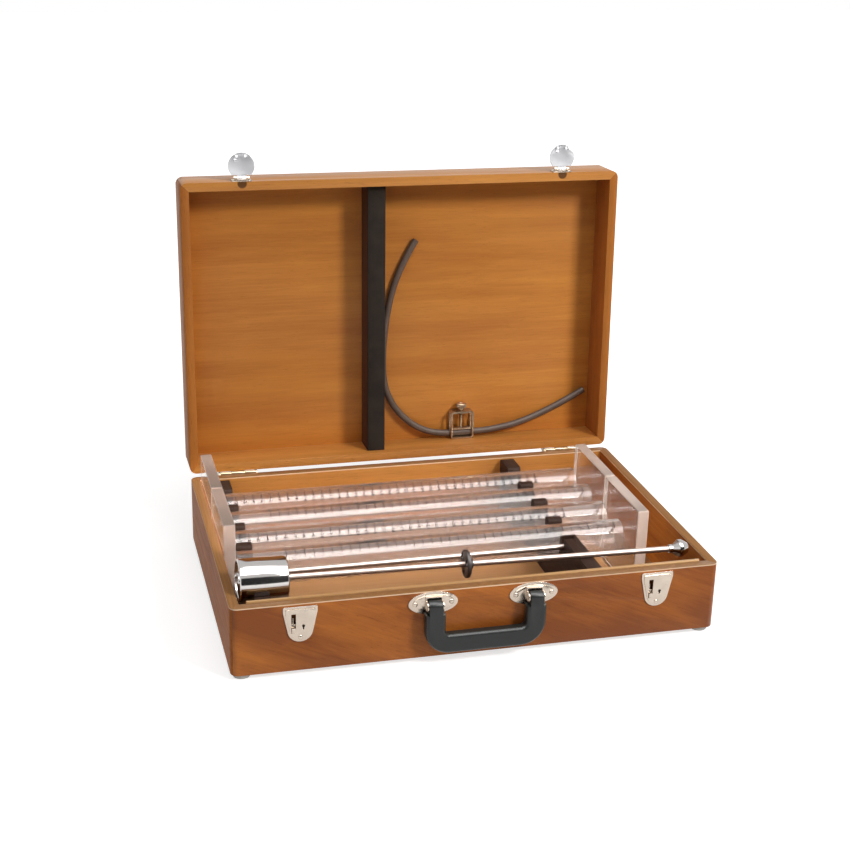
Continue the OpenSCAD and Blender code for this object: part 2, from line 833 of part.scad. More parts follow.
// Oval in the plane of the front board
module oval(l, h) {
    n = 40;
    polygon([for (i = [0:n - 1]) [l / 2 * cos(i * 360 / n), h / 2 * sin(i * 360 / n)]]);
}

// Oval plate with the pressed box that carries one end of the handle
module handle_plate() {
    ear = 1.5;
    half = grip_w / 2 - 3.5 + run;
    deep = -case_d / 2 - grip_y;
    r = 5;
    translate([0, -case_d / 2, z_rim - grip_z]) difference() {
        union() {
            rotate([90, 0, 0]) linear_extrude(plate_off) oval(oval_l, oval_h);
            rotate([90, 0, 0]) linear_extrude(plate_off + 0.8) oval(oval_l - 8, oval_h - 6);
            for (s = [-1, 1]) {
                x0 = s > 0 ? half : -half - ear;
                translate([x0, -deep, -r]) cube([ear, deep - plate_off, 2 * r]);
                translate([0, -deep, 0]) bar_along_x(x0, x0 + ear, r);
            }
            translate([-half - ear, -plate_off - 4.4, grip_t / 2 + 0.6]) cube([2 * (half + ear), 4.4, 1.5]);
            for (s = [-1, 1]) {
                x0 = s > 0 ? half : -half - ear;
                translate([x0, -plate_off - 4.4, 0]) cube([ear, 4.4, grip_t / 2 + 2.1]);
            }
        }
        translate([0, -deep, 0]) bar_along_x(-half - ear - eps, half + ear + eps, 1.55);
        translate([0, -deep, 0]) bar_along_x(-half, half, grip_t / 2 + run);
        for (u = [-1, 1]) {
            translate([u * oval_rivet_x, -plate_off - 0.8 - eps, 0])
                pilot(rivet_r + fit, plate_off + 1 + 2 * eps);
        }
    }
}

module handle_plate_left() {
    color([0.85, 0.84, 0.82]) placed() side(-1, grip_x) handle_plate();
}

module handle_plate_right() {
    color([0.85, 0.84, 0.82]) placed() side(1, grip_x) handle_plate();
}

module handle_pins() {
    l = grip_w / 2 - 3.5 + run + 1.5;
    color([0.75, 0.74, 0.72]) placed() for (s = [-1, 1]) {
        side(s, grip_x) translate([0, grip_y, z_rim - grip_z]) bar_along_x(-l, l, 1.5);
    }
}

module handle_rivets() {
    color([0.80, 0.79, 0.77]) placed() for (s = [-1, 1]) {
        for (u = [-1, 1]) {
            translate([s * grip_x + u * oval_rivet_x, -case_d / 2 - plate_off - 0.8, z_rim - grip_z])
                screw(rivet_head, rivet_r, plate_off + 0.8 + rivet_in);
        }
    }
}

// Section of the handle's bars
module grip_section() {
    rounded(grip_w, grip_t, 4);
}

// Moulded handle: two legs, a grip and round corners, hung on its pins by narrower tongues
module handle() {
    bend = grip_w / 2 + 5;
    leg_top = -grip_t / 2 - 1.5;
    tongue = grip_w / 2 - 3.5;
    color([0.17, 0.18, 0.17]) placed() translate([0, grip_y, z_rim - grip_z]) difference() {
        union() {
            for (s = [-1, 1]) {
                side(s, grip_x) translate([0, 0, -grip_drop + bend])
                    linear_extrude(grip_drop - bend + leg_top) grip_section();
                side(s, grip_x) translate([-tongue, -grip_t / 2, leg_top - 1])
                    cube([2 * tongue, grip_t, 1 - leg_top]);
                side(s, grip_x) bar_along_x(-tongue, tongue, grip_t / 2);
                translate([s * (grip_x - bend), 0, -grip_drop + bend])
                    rotate([90, 0, 0]) rotate([0, 0, s > 0 ? -90 : 180])
                        rotate_extrude(angle = 90) translate([bend, 0]) grip_section();
            }
            translate([-grip_x + bend, 0, -grip_drop]) rotate([90, 0, 90])
                linear_extrude(2 * (grip_x - bend)) rotate(90) grip_section();
        }
        for (s = [-1, 1]) {
            side(s, grip_x) bar_along_x(-tongue - eps, tongue + eps, 1.7);
        }
    }
}

// Graduated cylinder i; its lower end stands on the plate
module cylinder_tube(i) {
    x0 = i % 2 == 0 ? left_tube_x : right_tube_x;
    translate([0, row_y[i], tube_z]) difference() {
        bar_along_x(x0, x0 + tube_l, tube_od / 2);
        bar_along_x(x0 - eps, x0 + tube_l + eps, tube_id / 2);
    }
}

// Square base plate i with eased corners
module cylinder_base(i) {
    x0 = i % 2 == 0 ? left_plate_x : right_plate_x;
    translate([x0, row_y[i], tube_z]) rotate([90, 0, 90])
        linear_extrude(plate_t) rounded(plate_s, plate_s, 1.5);
}

module cylinder_tube_a() {
    color([0.90, 0.84, 0.80]) placed() cylinder_tube(0);
}

module cylinder_tube_b() {
    color([0.90, 0.84, 0.80]) placed() cylinder_tube(1);
}

module cylinder_tube_c() {
    color([0.90, 0.84, 0.80]) placed() cylinder_tube(2);
}

module cylinder_tube_d() {
    color([0.90, 0.84, 0.80]) placed() cylinder_tube(3);
}

module cylinder_base_a() {
    color([0.87, 0.76, 0.68]) placed() cylinder_base(0);
}

module cylinder_base_b() {
    color([0.87, 0.76, 0.68]) placed() cylinder_base(1);
}

module cylinder_base_c() {
    color([0.87, 0.76, 0.68]) placed() cylinder_base(2);
}

module cylinder_base_d() {
    color([0.87, 0.76, 0.68]) placed() cylinder_base(3);
}

// Places a part of the weighted foot assembly: X along the rod from the weight's right face
module on_rod() {
    translate([weight_x, rod_y, axis_z(weight_x)]) rotate([0, tilt, 0]) children();
}

// Turns a profile (distance along the rod, radius) round the rod
module turned(points) {
    rotate([0, 90, 0]) rotate_extrude() polygon([for (p = points) [p[1], p[0]]]);
}

module weight() {
    r = weight_d / 2;
    b = rod_d / 2 + 0.05;
    c = 1.5;
    color([0.80, 0.80, 0.82]) placed() on_rod() turned([
        [0, b], [0, r - c], [-c, r], [-weight_l + c, r], [-weight_l, r - c], [-weight_l, b]
    ]);
}

module weight_rod() {
    r = rod_d / 2;
    color([0.80, 0.79, 0.77]) placed() on_rod() turned([
        [-weight_l, 0], [-weight_l, r - 0.5], [-weight_l + 0.5, r], [rod_l + 6, r], [rod_l + 6, 0]
    ]);
}

// Foot on the rod's end: hub, cone out to the rim and a shorter cone to its flat tip
module weight_foot() {
    b = rod_d / 2 + 0.05;
    r = tip_d / 2;
    l = tip_l;
    color([0.75, 0.75, 0.76]) placed() on_rod() translate([rod_l, 0, 0]) turned([
        [0, b], [0, b + 1.6], [4, b + 1.6], [l - 11, r - 0.6], [l - 10, r],
        [l - 6, r], [l, r - 3.5], [l, 0], [6 + 0.05, 0], [6 + 0.05, b]
    ]);
}

// Sand reading indicator: a disc with a hub and three cut-outs, held on the rod by a set screw
module sand_indicator() {
    r = ring_d / 2;
    hub = 5.6;
    t = ring_t / 2;
    b = rod_d / 2 + 0.15;
    color([0.14, 0.11, 0.10]) placed() on_rod() translate([ring_x, 0, 0]) difference() {
        turned([
            [-t, b], [-t, r - 0.8], [-t + 0.8, r], [t - 0.8, r], [t, r - 0.8],
            [t, hub], [t + 4, hub], [t + 4, b]
        ]);
        for (a = [60, 180, 300]) {
            rotate([a, 0, 0]) translate([-t - eps, 0, (r + hub) / 2]) rotate([0, 90, 0])
                cylinder(h = ring_t + 2 * eps, r = (r - hub) / 2 - 1.2);
        }
        translate([t + 2, 0, 0]) cylinder(h = r, r = 1 + fit);
    }
}

module indicator_screw() {
    color([0.78, 0.76, 0.72]) placed() on_rod() translate([ring_x + ring_t / 2 + 2, 0, rod_d / 2 + 0.1])
        cylinder(h = 5, r = 1);
}

module irrigator_tube() {
    color([0.82, 0.80, 0.78]) placed() translate([0, irr_y, irr_z]) difference() {
        bar_along_x(irr_x0, irr_x1, irr_d / 2);
        bar_along_x(irr_x0 - eps, irr_x1 - 4, irr_bore / 2);
    }
}

// A point given on the lid (X, up the open lid, out from the rim) as the closed lid has it
function on_lid(p) = [p[0], case_d / 2 - p[1], z_lid + p[2]];

// Unit vector
function unit(a) = a / norm(a);

// Ring of a swept tube at point i of a path, square to the path there
function ring(path, i, r, n) =
    let (
        last = len(path) - 1,
        t = unit(path[min(i + 1, last)] - path[max(i - 1, 0)]),
        e1 = unit(cross(t, [0, 0, 1])),
        e2 = cross(e1, t)
    )
    [for (k = [0:n - 1]) path[i] + r * (cos(k * 360 / n) * e1 + sin(k * 360 / n) * e2)];

// Tube swept along a path as one closed solid
module swept(path, r, n) {
    m = len(path);
    points = [for (i = [0:m - 1]) each ring(path, i, r, n)];
    skin = [for (i = [0:m - 2]) for (k = [0:n - 1]) each [
        [i * n + k, (i + 1) * n + k, (i + 1) * n + (k + 1) % n],
        [i * n + k, (i + 1) * n + (k + 1) % n, i * n + (k + 1) % n]
    ]];
    ends = [[for (k = [0:n - 1]) k], [for (k = [0:n - 1]) m * n - 1 - k]];
    polyhedron(points, concat(skin, ends));
}

module hose() {
    color([0.35, 0.28, 0.25]) placed() opened()
        swept([for (p = hose_route) on_lid(p)], hose_d / 2, 10);
}

// Puts the clamp on the lid: X along the hose, Y up the open lid, Z out from the rim plane
module on_clamp() {
    translate([clamp_x, case_d / 2, z_lid + clamp_w]) mirror([0, 1, 0]) children();
}

// Frame of the screw clamp, bent from strip: foot and bridge joined by two pairs of legs
module clamp_frame() {
    gap = hose_d / 2 + run + 0.1;
    inner_h = clamp_top - 2 * clamp_plate;
    color([0.72, 0.60, 0.45]) placed() opened() on_clamp() difference() {
        translate([0, clamp_v + clamp_top / 2, -clamp_side / 2]) linear_extrude(clamp_side) difference() {
            rounded(clamp_l, clamp_top, clamp_round);
            rounded(clamp_l - 2 * clamp_end, inner_h, clamp_round - 1.5);
        }
        translate([-clamp_l / 2 - eps, clamp_v + clamp_plate, -gap])
            cube([clamp_l + 2 * eps, inner_h, 2 * gap]);
        translate([0, clamp_v + clamp_top + eps, 0]) rotate([90, 0, 0])
            cylinder(h = clamp_plate + 2 * eps, r = screw_d / 2 + run);
    }
}

// Jaw between the end plates, with the boss that the screw turns in
module clamp_jaw() {
    l = clamp_l / 2 - clamp_end - run;
    w = hose_d / 2;
    color([0.74, 0.62, 0.46]) placed() opened() on_clamp() difference() {
        translate([-l, jaw_v, -w]) cube([2 * l, jaw_t, 2 * w]);
        translate([0, jaw_v + jaw_t + eps, 0]) rotate([90, 0, 0])
            cylinder(h = jaw_t - 0.6 + eps, r = screw_d / 2 - 0.7 + run);
    }
}

// Screw of the clamp with its knurled knob
module clamp_screw() {
    v0 = jaw_v + 0.6 + run;
    v1 = jaw_v + jaw_t + run;
    v2 = clamp_v + clamp_top + 1.5;
    r = screw_d / 2;
    k = knob_d / 2;
    color([0.80, 0.68, 0.52]) placed() opened() on_clamp() rotate([-90, 0, 0]) rotate_extrude() polygon([
        [0, v0], [r - 0.7, v0], [r - 0.7, v1], [r, v1], [r, v2], [3.4, v2], [3.4, v2 + 2.4],
        [k - 0.8, v2 + 2.4], [k, v2 + 3.2], [k, v2 + 7], [k - 0.8, v2 + 7.8], [2, v2 + 8.2], [0, v2 + 8.2]
    ]);
}

base_front();
base_back();
base_left();
base_right();
base_floor();
front_lip();
feet();
rack_left();
rack_right();
lid_front();
lid_back();
lid_left();
lid_right();
lid_panel();
hold_down_bar();
bar_pad();
hinge_leaf_base_left();
hinge_leaf_base_right();
hinge_leaf_lid_left();
hinge_leaf_lid_right();
hinge_pins();
hinge_screws_base();
hinge_screws_lid();
lock_plate_left();
lock_plate_right();
lock_slide_left();
lock_slide_right();
lock_rivets();
hasp_bracket_left();
hasp_bracket_right();
hasp_left();
hasp_right();
hasp_pins();
hasp_rivets();
handle_plate_left();
handle_plate_right();
handle_pins();
handle_rivets();
handle();
cylinder_tube_a();
cylinder_tube_b();
cylinder_tube_c();
cylinder_tube_d();
cylinder_base_a();
cylinder_base_b();
cylinder_base_c();
cylinder_base_d();
weight();
weight_rod();
weight_foot();
sand_indicator();
indicator_screw();
irrigator_tube();
hose();
clamp_frame();
clamp_jaw();
clamp_screw();
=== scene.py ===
"""Looks of the sand equivalent test set in its open wooden case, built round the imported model.

Lengths are metres in the model's frame: X along the case to the right, Y to the hinges, Z up.
The hose's route and the profiles of the turned pieces are millimetres.
"""
import json
import math

import bmesh
import bpy
from mathutils import Matrix, Vector


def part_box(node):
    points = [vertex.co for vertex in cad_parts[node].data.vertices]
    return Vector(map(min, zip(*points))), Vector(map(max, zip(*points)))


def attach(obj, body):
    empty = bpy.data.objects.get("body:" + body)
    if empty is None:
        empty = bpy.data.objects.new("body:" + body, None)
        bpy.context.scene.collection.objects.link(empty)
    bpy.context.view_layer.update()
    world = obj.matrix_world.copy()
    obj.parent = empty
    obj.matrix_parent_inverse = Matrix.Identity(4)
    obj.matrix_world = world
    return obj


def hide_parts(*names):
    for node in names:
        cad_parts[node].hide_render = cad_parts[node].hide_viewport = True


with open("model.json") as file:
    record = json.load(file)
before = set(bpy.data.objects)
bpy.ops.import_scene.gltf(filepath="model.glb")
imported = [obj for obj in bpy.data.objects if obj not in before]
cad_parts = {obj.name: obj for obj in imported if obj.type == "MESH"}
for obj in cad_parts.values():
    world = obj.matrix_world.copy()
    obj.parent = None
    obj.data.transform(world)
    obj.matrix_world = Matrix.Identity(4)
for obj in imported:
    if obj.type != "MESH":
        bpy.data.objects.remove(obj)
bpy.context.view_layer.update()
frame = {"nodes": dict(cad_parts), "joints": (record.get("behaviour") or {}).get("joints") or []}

MM = 0.001
SCENE = bpy.context.scene

# Camera, fitted to the corners of the case in the photograph
EYE = Vector((-0.4274, -1.5591, 0.7928))
YAW, PITCH, ROLL = (math.radians(a) for a in (14.84, 20.67, 1.42))
FOCAL_PX, IMAGE_PX = 1553.9, 850
SENSOR = 36
FAR_CLIP = 50

# Lights: name, place, target, width and height, watts, colour, and whether only gloss sees it
WHITE = (1, 1, 1)
LIGHTS = (
    ("key", (1.35, -1.75, 1.85), (0, 0.1, 0.15), (0.55, 0.55), 52, (1, 0.985, 0.96), False),
    ("top", (-0.1, -0.5, 2.4), (0, 0, 0), (1.4, 1.4), 12, WHITE, False),
    ("fill", (-1.9, -1.6, 1.1), (0, 0, 0.15), (1.6, 1.6), 2.5, (0.97, 0.98, 1), False),
    ("gloss_box", (0, -0.75, 1.95), (0, -0.05, 0.07), (3.2, 1.3), 95, WHITE, True),
)
WORLD_LEVEL = 0.24

# Stage: the dark card's half width, Y and heights, the floor's half width, its grey, and the
# distances between which its glow rises to the backdrop's white
CARD_HALF, CARD_Y, CARD_LOW, CARD_HIGH = 2.6, -2.3, 0.01, 1.65
FLOOR_HALF = 6
FLOOR_GREY = (0.6, 0.6, 0.6)
GLOW_NEAR, GLOW_FAR, GLOW_LEAST = 0.3, 0.9, 0.7

# The open lid: its hinge line, its lean past upright, and the pin's place from the rim's corner
PIN = Vector(next(j["pos_m"] for j in frame["joints"] if j["name"] == "lid_hinge"))
LEAN = math.radians(2.5)
PIN_OUT, PIN_UNDER = 2.6 * MM, 0.25 * MM

# Hose: its route in millimetres, along X, up the open lid, out from the rim plane
HOSE_D, HOSE_BORE_R, HOSE_BORE_DEPTH = 8 * MM, 2.4 * MM, 12 * MM
HOSE_PARTS, HOSE_SIDES = 6, 20
HOSE_ROUTE = [
    (22, 262, 39.7), (16, 252, 39.7), (5, 231, 39.7), (-4, 209, 39.7), (-10, 187, 39.7),
    (-14, 165, 39.7), (-16.5, 143, 39.7), (-17.8, 121, 39.7), (-17.5, 99, 39.7),
    (-14, 78, 39.5), (-6, 59, 39), (6, 43, 38), (21, 30, 37), (38, 21.5, 36.2), (54, 17.8, 35.8),
    (68, 17, 35.7), (81.5, 17, 35.7), (95, 17, 35.7),
    (112, 17.2, 36), (131, 19, 37), (150, 22, 38), (170, 27.5, 39), (190, 35, 39.7),
    (209, 43.5, 39.7), (227, 52.5, 39.7), (236, 57.2, 39.7), (243.4, 61.1, 39.7),
]

# Graduated cylinders: bore, scale in millimetres from the foot, angle of its middle up from the
# front, relief of its marks, figures, and the eased edges of tube and plate
TUBE_BORE = 31.75 * MM
SCALE_LAST, SCALE_STEP, SCALE_LONG = 380, 2, 10
SCALE_ANGLE = math.radians(66)
LONG_MARK = (0.9 * MM, math.radians(14))
SHORT_MARK = (0.4 * MM, math.radians(7))
MARK_RISE, MARK_PARTS = 0.04 * MM, 4
DIGIT_H, DIGIT_BOLD, DIGIT_START = 5 * MM, 0.14 * MM, 5.2 * MM
DIGIT_PITCH, DIGIT_DROP = 0.62 * DIGIT_H, 0.36 * DIGIT_H
TUBE_EASE, PLATE_EASE, PLATE_ROUND = 0.5 * MM, 0.7 * MM, 1.5 * MM

# Turned pieces, in millimetres
ROD_D, WEIGHT_D, WEIGHT_L, HUB_R, TIP_D, TIP_L = 6.35, 44.5, 50, 7, 19, 21
ROD_IN_TIP = 6
SCREW_D, KNOB_D, COLLAR_R, HEAD_L = 4, 13, 3.4, 8.2
THREAD_PITCH, THREAD_DEPTH, KNURL_DEPTH = 0.7, 0.35, 0.35

# Woods: colours of the light and of the dark grain
RED = (0.54, 0.172, 0.026), (0.235, 0.062, 0.0105)
TAN = (0.64, 0.275, 0.06), (0.40, 0.147, 0.03)
# The lid's end boards: a darker copy of the tan, as painted shade
LID_ENDS_SHADED = (0.50, 0.18, 0.035), (0.30, 0.095, 0.02)
LID_PLY = (0.61, 0.245, 0.043), (0.40, 0.128, 0.021)
# The case floor: the plywood's own tone, darkened as painted shade for the shadow that the tubes
# and plates do not cast
FLOOR_PLY_SHADED = (0.33, 0.172, 0.068), (0.235, 0.112, 0.043)
LIP = (0.60, 0.36, 0.15), (0.44, 0.22, 0.08)
RACK = (0.060, 0.032, 0.022), (0.024, 0.013, 0.010)
BAR = (0.10, 0.042, 0.022), (0.045, 0.019, 0.012)
# The rim's face, and the pale painted highlight along its arris
RIM_FACE, ARRIS_HIGHLIGHT = (0.37, 0.175, 0.062), (0.88, 0.66, 0.45)

# Wood's grain: figure, fibres and pores per metre along and across it, blotches per metre, its
# waves, and the share of fibres and blotches in the dark tone
FIGURE, FIBRE, PORE = (2.2, 26), (9, 420), (40, 1500)
BLOTCHES = 7
WAVES, WAVE_DEPTH = 5, 0.03
FIBRE_SHARE, BLOTCH_SHARE = 0.22, 0.2

# Other surfaces: marks per metre of metal, acrylic and plastic, and the index of acrylic
SMEARS, SCRATCHES, HAZES, MOTTLES = 90, 40, 35, 45
ACRYLIC_IOR = 1.49

# Depths under a board's upper edge: the painted highlight along the arris begins, is full and
# starts to end, the face of the rim begins and is full
ARRIS_FROM, ARRIS_FULL, ARRIS_END = 1.6 * MM, 1.2 * MM, 0.3 * MM
RIM_FROM, RIM_FULL = 0.2 * MM, 0.1 * MM
# Thumb notches, painted as dark shade and not modelled: radius, blur, and depth of the middle under
# the edge
NOTCH_R, NOTCH_BLUR, NOTCH_DOWN = 6 * MM, 1.2 * MM, 2 * MM


def on_lid(x, up, out):
    """A point of the open lid from its place along X, up the lid and out from the rim plane."""
    v, w = up + PIN_OUT, out + PIN_UNDER
    s, c = math.sin(LEAN), math.cos(LEAN)
    return Vector((x, PIN.y + v * s + w * c, PIN.z + v * c - w * s))


def middle(node):
    """Middle of a node's box."""
    low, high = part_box(node)
    return (low + high) / 2


def shade(colour, share):
    """A colour times a share."""
    return tuple(share * c for c in colour)


def linked(name, data):
    """An object for some data, in the scene."""
    thing = bpy.data.objects.new(name, data)
    SCENE.collection.objects.link(thing)
    return thing


# Camera, lights and stage


def make_camera():
    """The photograph's camera, from its place, its angles and its focal length in pixels."""
    flat = Vector((math.sin(YAW), math.cos(YAW), 0)) * math.cos(PITCH)
    forward = flat - Vector((0, 0, math.sin(PITCH)))
    level = Vector((math.cos(YAW), -math.sin(YAW), 0))
    upright = level.cross(forward)
    right = level * math.cos(ROLL) + upright * math.sin(ROLL)
    up = upright * math.cos(ROLL) - level * math.sin(ROLL)
    data = bpy.data.cameras.new("camera")
    data.sensor_width = SENSOR
    data.lens = SENSOR * FOCAL_PX / IMAGE_PX
    data.clip_end = FAR_CLIP
    camera = linked("camera", data)
    turn = Matrix((right, up, -forward)).transposed().to_4x4()
    camera.matrix_world = Matrix.Translation(EYE) @ turn
    SCENE.camera = camera


def area_light(name, place, target, size, watts, colour, gloss_only):
    """A soft light of some width and height at a place, turned to a target."""
    data = bpy.data.lights.new(name, "AREA")
    data.shape = "RECTANGLE"
    data.size, data.size_y = size
    data.energy = watts
    data.color = colour
    light = linked(name, data)
    light.location = place
    light.rotation_euler = (Vector(target) - Vector(place)).to_track_quat("-Z", "Y").to_euler()
    light.visible_diffuse = not gloss_only


def white_for_seen_rays(tree):
    """Socket that is 1 for camera, glossy and transmission rays, which see a white background."""
    path = tree.nodes.new("ShaderNodeLightPath")
    total = path.outputs["Is Camera Ray"]
    for other in ("Is Glossy Ray", "Is Transmission Ray"):
        larger = tree.nodes.new("ShaderNodeMath")
        larger.operation = "MAXIMUM"
        tree.links.new(total, larger.inputs[0])
        tree.links.new(path.outputs[other], larger.inputs[1])
        total = larger.outputs[0]
    return total


def make_world():
    """A weak even light that is seen as white."""
    world = bpy.data.worlds.new("studio")
    world.use_nodes = True
    tree = world.node_tree
    tree.nodes.clear()
    mix = tree.nodes.new("ShaderNodeMixShader")
    tree.links.new(white_for_seen_rays(tree), mix.inputs[0])
    for slot, strength in ((1, WORLD_LEVEL), (2, 1)):
        glow = tree.nodes.new("ShaderNodeBackground")
        glow.inputs["Color"].default_value = (*WHITE, 1)
        glow.inputs["Strength"].default_value = strength
        tree.links.new(glow.outputs[0], mix.inputs[slot])
    out = tree.nodes.new("ShaderNodeOutputWorld")
    tree.links.new(mix.outputs[0], out.inputs[0])
    SCENE.world = world


def stage_quad(name, corners, material):
    """A flat piece of the stage."""
    mesh = bpy.data.meshes.new(name)
    mesh.from_pydata(corners, [], [(0, 1, 2, 3)])
    mesh.materials.append(material)
    quad = linked(name, mesh)
    return quad


def make_card():
    """A dark card in front that only gloss sees, for the dark band in the chrome."""
    x, y, low, high = CARD_HALF, CARD_Y, CARD_LOW, CARD_HIGH
    corners = [(-x, y, low), (x, y, low), (x, y, high), (-x, y, high)]
    card = stage_quad("dark_card", corners, plastic("card_black", (0.02, 0.02, 0.022), 0.9))
    card.visible_camera = card.visible_diffuse = False
    card.visible_transmission = card.visible_shadow = False


def make_floor():
    """Pale floor that keeps the case's shadow and turns to the backdrop's white further out."""
    p = Paint("floor_pale", roughness=0.9)
    p.colour(FLOOR_GREY)
    away = p.vector_math("LENGTH", p.place, output="Value")
    glow = p.remap(away, GLOW_NEAR, GLOW_FAR, GLOW_LEAST, 1)
    p.set("Emission Strength", p.math("MULTIPLY", glow, white_for_seen_rays(p.tree)))
    p.set("Emission Color", WHITE)
    h = FLOOR_HALF
    stage_quad("floor", [(-h, -h, 0), (h, -h, 0), (h, h, 0), (-h, h, 0)], p.material)


# Materials


class Paint:
    """A material with one Principled shader and helpers for the nodes that feed it."""

    def __init__(self, name, **values):
        self.material = bpy.data.materials.new(name)
        self.material.use_nodes = True
        self.tree = self.material.node_tree
        self.tree.nodes.clear()
        out = self.tree.nodes.new("ShaderNodeOutputMaterial")
        self.shader = self.tree.nodes.new("ShaderNodeBsdfPrincipled")
        self.tree.links.new(self.shader.outputs[0], out.inputs[0])
        self.place = self.node("ShaderNodeTexCoord").outputs["Object"]
        for key, value in values.items():
            socket = key.replace("_", " ").title().replace("Ior", "IOR")
            self.shader.inputs[socket].default_value = value

    def node(self, kind, settings=None, **inputs):
        """A node with its settings, and with values or links for its inputs, named or numbered."""
        node = self.tree.nodes.new(kind)
        for key, value in (settings or {}).items():
            setattr(node, key, value)
        for key, value in inputs.items():
            socket = node.inputs[int(key[1:])] if key[0] == "_" else node.inputs[key]
            self.feed(socket, value)
        return node

    def feed(self, socket, value):
        """Links an output to a socket, or sets the socket's own value."""
        if isinstance(value, bpy.types.NodeSocket):
            self.tree.links.new(value, socket)
        elif socket.type == "RGBA" and len(value) == 3:
            socket.default_value = (*value, 1)
        else:
            socket.default_value = value

    def colour(self, value):
        self.feed(self.shader.inputs["Base Color"], value)

    def set(self, name, value):
        self.feed(self.shader.inputs[name], value)

    def mapped(self, vector, scale=(1, 1, 1), turn=(0, 0, 0), shift=(0, 0, 0)):
        """Coordinates, scaled, turned and moved."""
        return self.node("ShaderNodeMapping", None, Vector=vector, Location=shift, Rotation=turn,
                         Scale=scale).outputs[0]

    def noise(self, vector, scale, detail, roughness=0.55):
        return self.node("ShaderNodeTexNoise", None, Vector=vector, Scale=scale, Detail=detail,
                         Roughness=roughness).outputs["Fac"]

    def math(self, operation, a, b, clamp=False):
        settings = {"operation": operation, "use_clamp": clamp}
        return self.node("ShaderNodeMath", settings, _0=a, _1=b).outputs[0]

    def vector_math(self, operation, a, b=(0, 0, 0), output="Vector"):
        settings = {"operation": operation}
        return self.node("ShaderNodeVectorMath", settings, _0=a, _1=b).outputs[output]

    def remap(self, value, low, high, to_low=0.0, to_high=1.0):
        return self.node("ShaderNodeMapRange", None, _0=value, _1=low, _2=high, _3=to_low,
                         _4=to_high).outputs[0]

    def mix(self, share, a, b):
        """A colour between a and b."""
        node = self.node("ShaderNodeMix", {"data_type": "RGBA"})
        for place, value in ((0, share), (6, a), (7, b)):
            self.feed(node.inputs[place], value)
        return node.outputs[2]

    def bump(self, height, distance, strength):
        node = self.node("ShaderNodeBump", None, Height=height, Distance=distance,
                         Strength=strength)
        self.feed(self.shader.inputs["Normal"], node.outputs[0])


def wood(name, colours, turn, streak=0.5, pores=0.5, gloss=0.36, rim=None, shift=(0, 0, 0),
         shine=0.2, figure_size=FIGURE, shaded_notches=()):
    """Varnished wood whose grain runs along X once its coordinates are turned.

    rim is the height of the upper edge, whose face is duller and whose arrises carry a pale painted
    highlight.
    The last argument gives the middles of thumb notches, not modelled but painted as dark shade on
    an edge of the board.
    """
    light, dark = colours
    p = Paint(name, roughness=gloss, specular_ior_level=shine, coat_weight=0.3 * shine,
              coat_roughness=0.15)
    base = p.mapped(p.place, turn=turn, shift=shift)
    wave = p.math("MULTIPLY", p.noise(base, WAVES, 2, 0.5), WAVE_DEPTH)
    bent = p.vector_math("ADD", base, p.node("ShaderNodeCombineXYZ", None, _1=wave).outputs[0])

    def stretched(size, detail):
        along, across = size
        return p.noise(p.mapped(bent, scale=(along, across, across)), 1, detail, 0.6)

    figure = p.remap(stretched(figure_size, 4), 0.36, 0.64)
    fibre = p.remap(stretched(FIBRE, 3), 0.3, 0.7)
    pore = p.remap(stretched(PORE, 2), 0.60, 0.72)
    blotch = p.remap(p.noise(base, BLOTCHES, 3), 0.3, 0.7)
    tone = p.math("ADD", p.math("MULTIPLY", figure, streak), p.math("MULTIPLY", fibre, FIBRE_SHARE))
    tone = p.math("ADD", tone, p.math("MULTIPLY", blotch, BLOTCH_SHARE), clamp=True)
    colour = p.mix(tone, light, dark)
    colour = p.mix(p.math("MULTIPLY", pore, pores), colour, shade(dark, 0.45))
    if rim:
        height = p.node("ShaderNodeSeparateXYZ", None, _0=p.place).outputs[2]
        face = p.remap(height, rim - RIM_FROM, rim - RIM_FULL)
        colour = p.mix(face, colour, p.mix(fibre, RIM_FACE, shade(RIM_FACE, 0.72)))
        # Painted highlight: a pale line along the arris just under the rim
        below = p.remap(height, rim - ARRIS_FROM, rim - ARRIS_FULL)
        above = p.remap(height, rim - ARRIS_END, rim - RIM_FULL, 1, 0)
        arris_highlight = p.math("MULTIPLY", below, above)
        colour = p.mix(p.math("MULTIPLY", arris_highlight, p.remap(blotch, 0, 1, 1, 0.6)), colour, ARRIS_HIGHLIGHT)
    # Painted shade for each thumb notch, which is not modelled
    for spot in shaded_notches:
        away = p.vector_math("DISTANCE", p.place, spot, output="Value")
        notch_shade = p.remap(away, NOTCH_R - NOTCH_BLUR, NOTCH_R, 0.9, 0)
        colour = p.mix(notch_shade, colour, shade(dark, 0.16))
    p.colour(colour)
    relief = p.math("ADD", p.math("MULTIPLY", fibre, 0.4), p.math("MULTIPLY", pore, -1))
    p.bump(relief, 0.06 * MM, 0.6)
    p.set("Roughness", p.remap(fibre, 0, 1, gloss - 0.05, gloss + 0.08))
    return p.material


def metal(name, colour, roughness, brushed=(60, 60, 60), wear=0.06):
    """Plated or bright metal with faint smears, and scratches along the least axis of brushed."""
    p = Paint(name, metallic=1.0, roughness=roughness)
    smear = p.noise(p.place, SMEARS, 4)
    scratch = p.noise(p.mapped(p.place, scale=brushed), SCRATCHES, 3)
    worn = p.remap(p.math("ADD", smear, scratch), 0.7, 1.3)
    p.colour(p.mix(worn, colour, shade(colour, 1 - 2 * wear)))
    p.set("Roughness", p.remap(worn, 0, 1, max(roughness - wear, 0.02), roughness + wear))
    p.bump(scratch, 0.02 * MM, 0.25)
    return p.material


def acrylic(name, tint, roughness, clearness):
    """Cast acrylic with a faint warm tint, clear but for a light haze, or frosted by a saw."""
    p = Paint(name, transmission_weight=clearness, ior=ACRYLIC_IOR)
    haze = p.remap(p.noise(p.place, HAZES, 3), 0.3, 0.7)
    p.colour(p.mix(haze, tint, shade(tint, 0.96)))
    p.set("Roughness", p.remap(haze, 0, 1, roughness, roughness + 0.05))
    return p.material


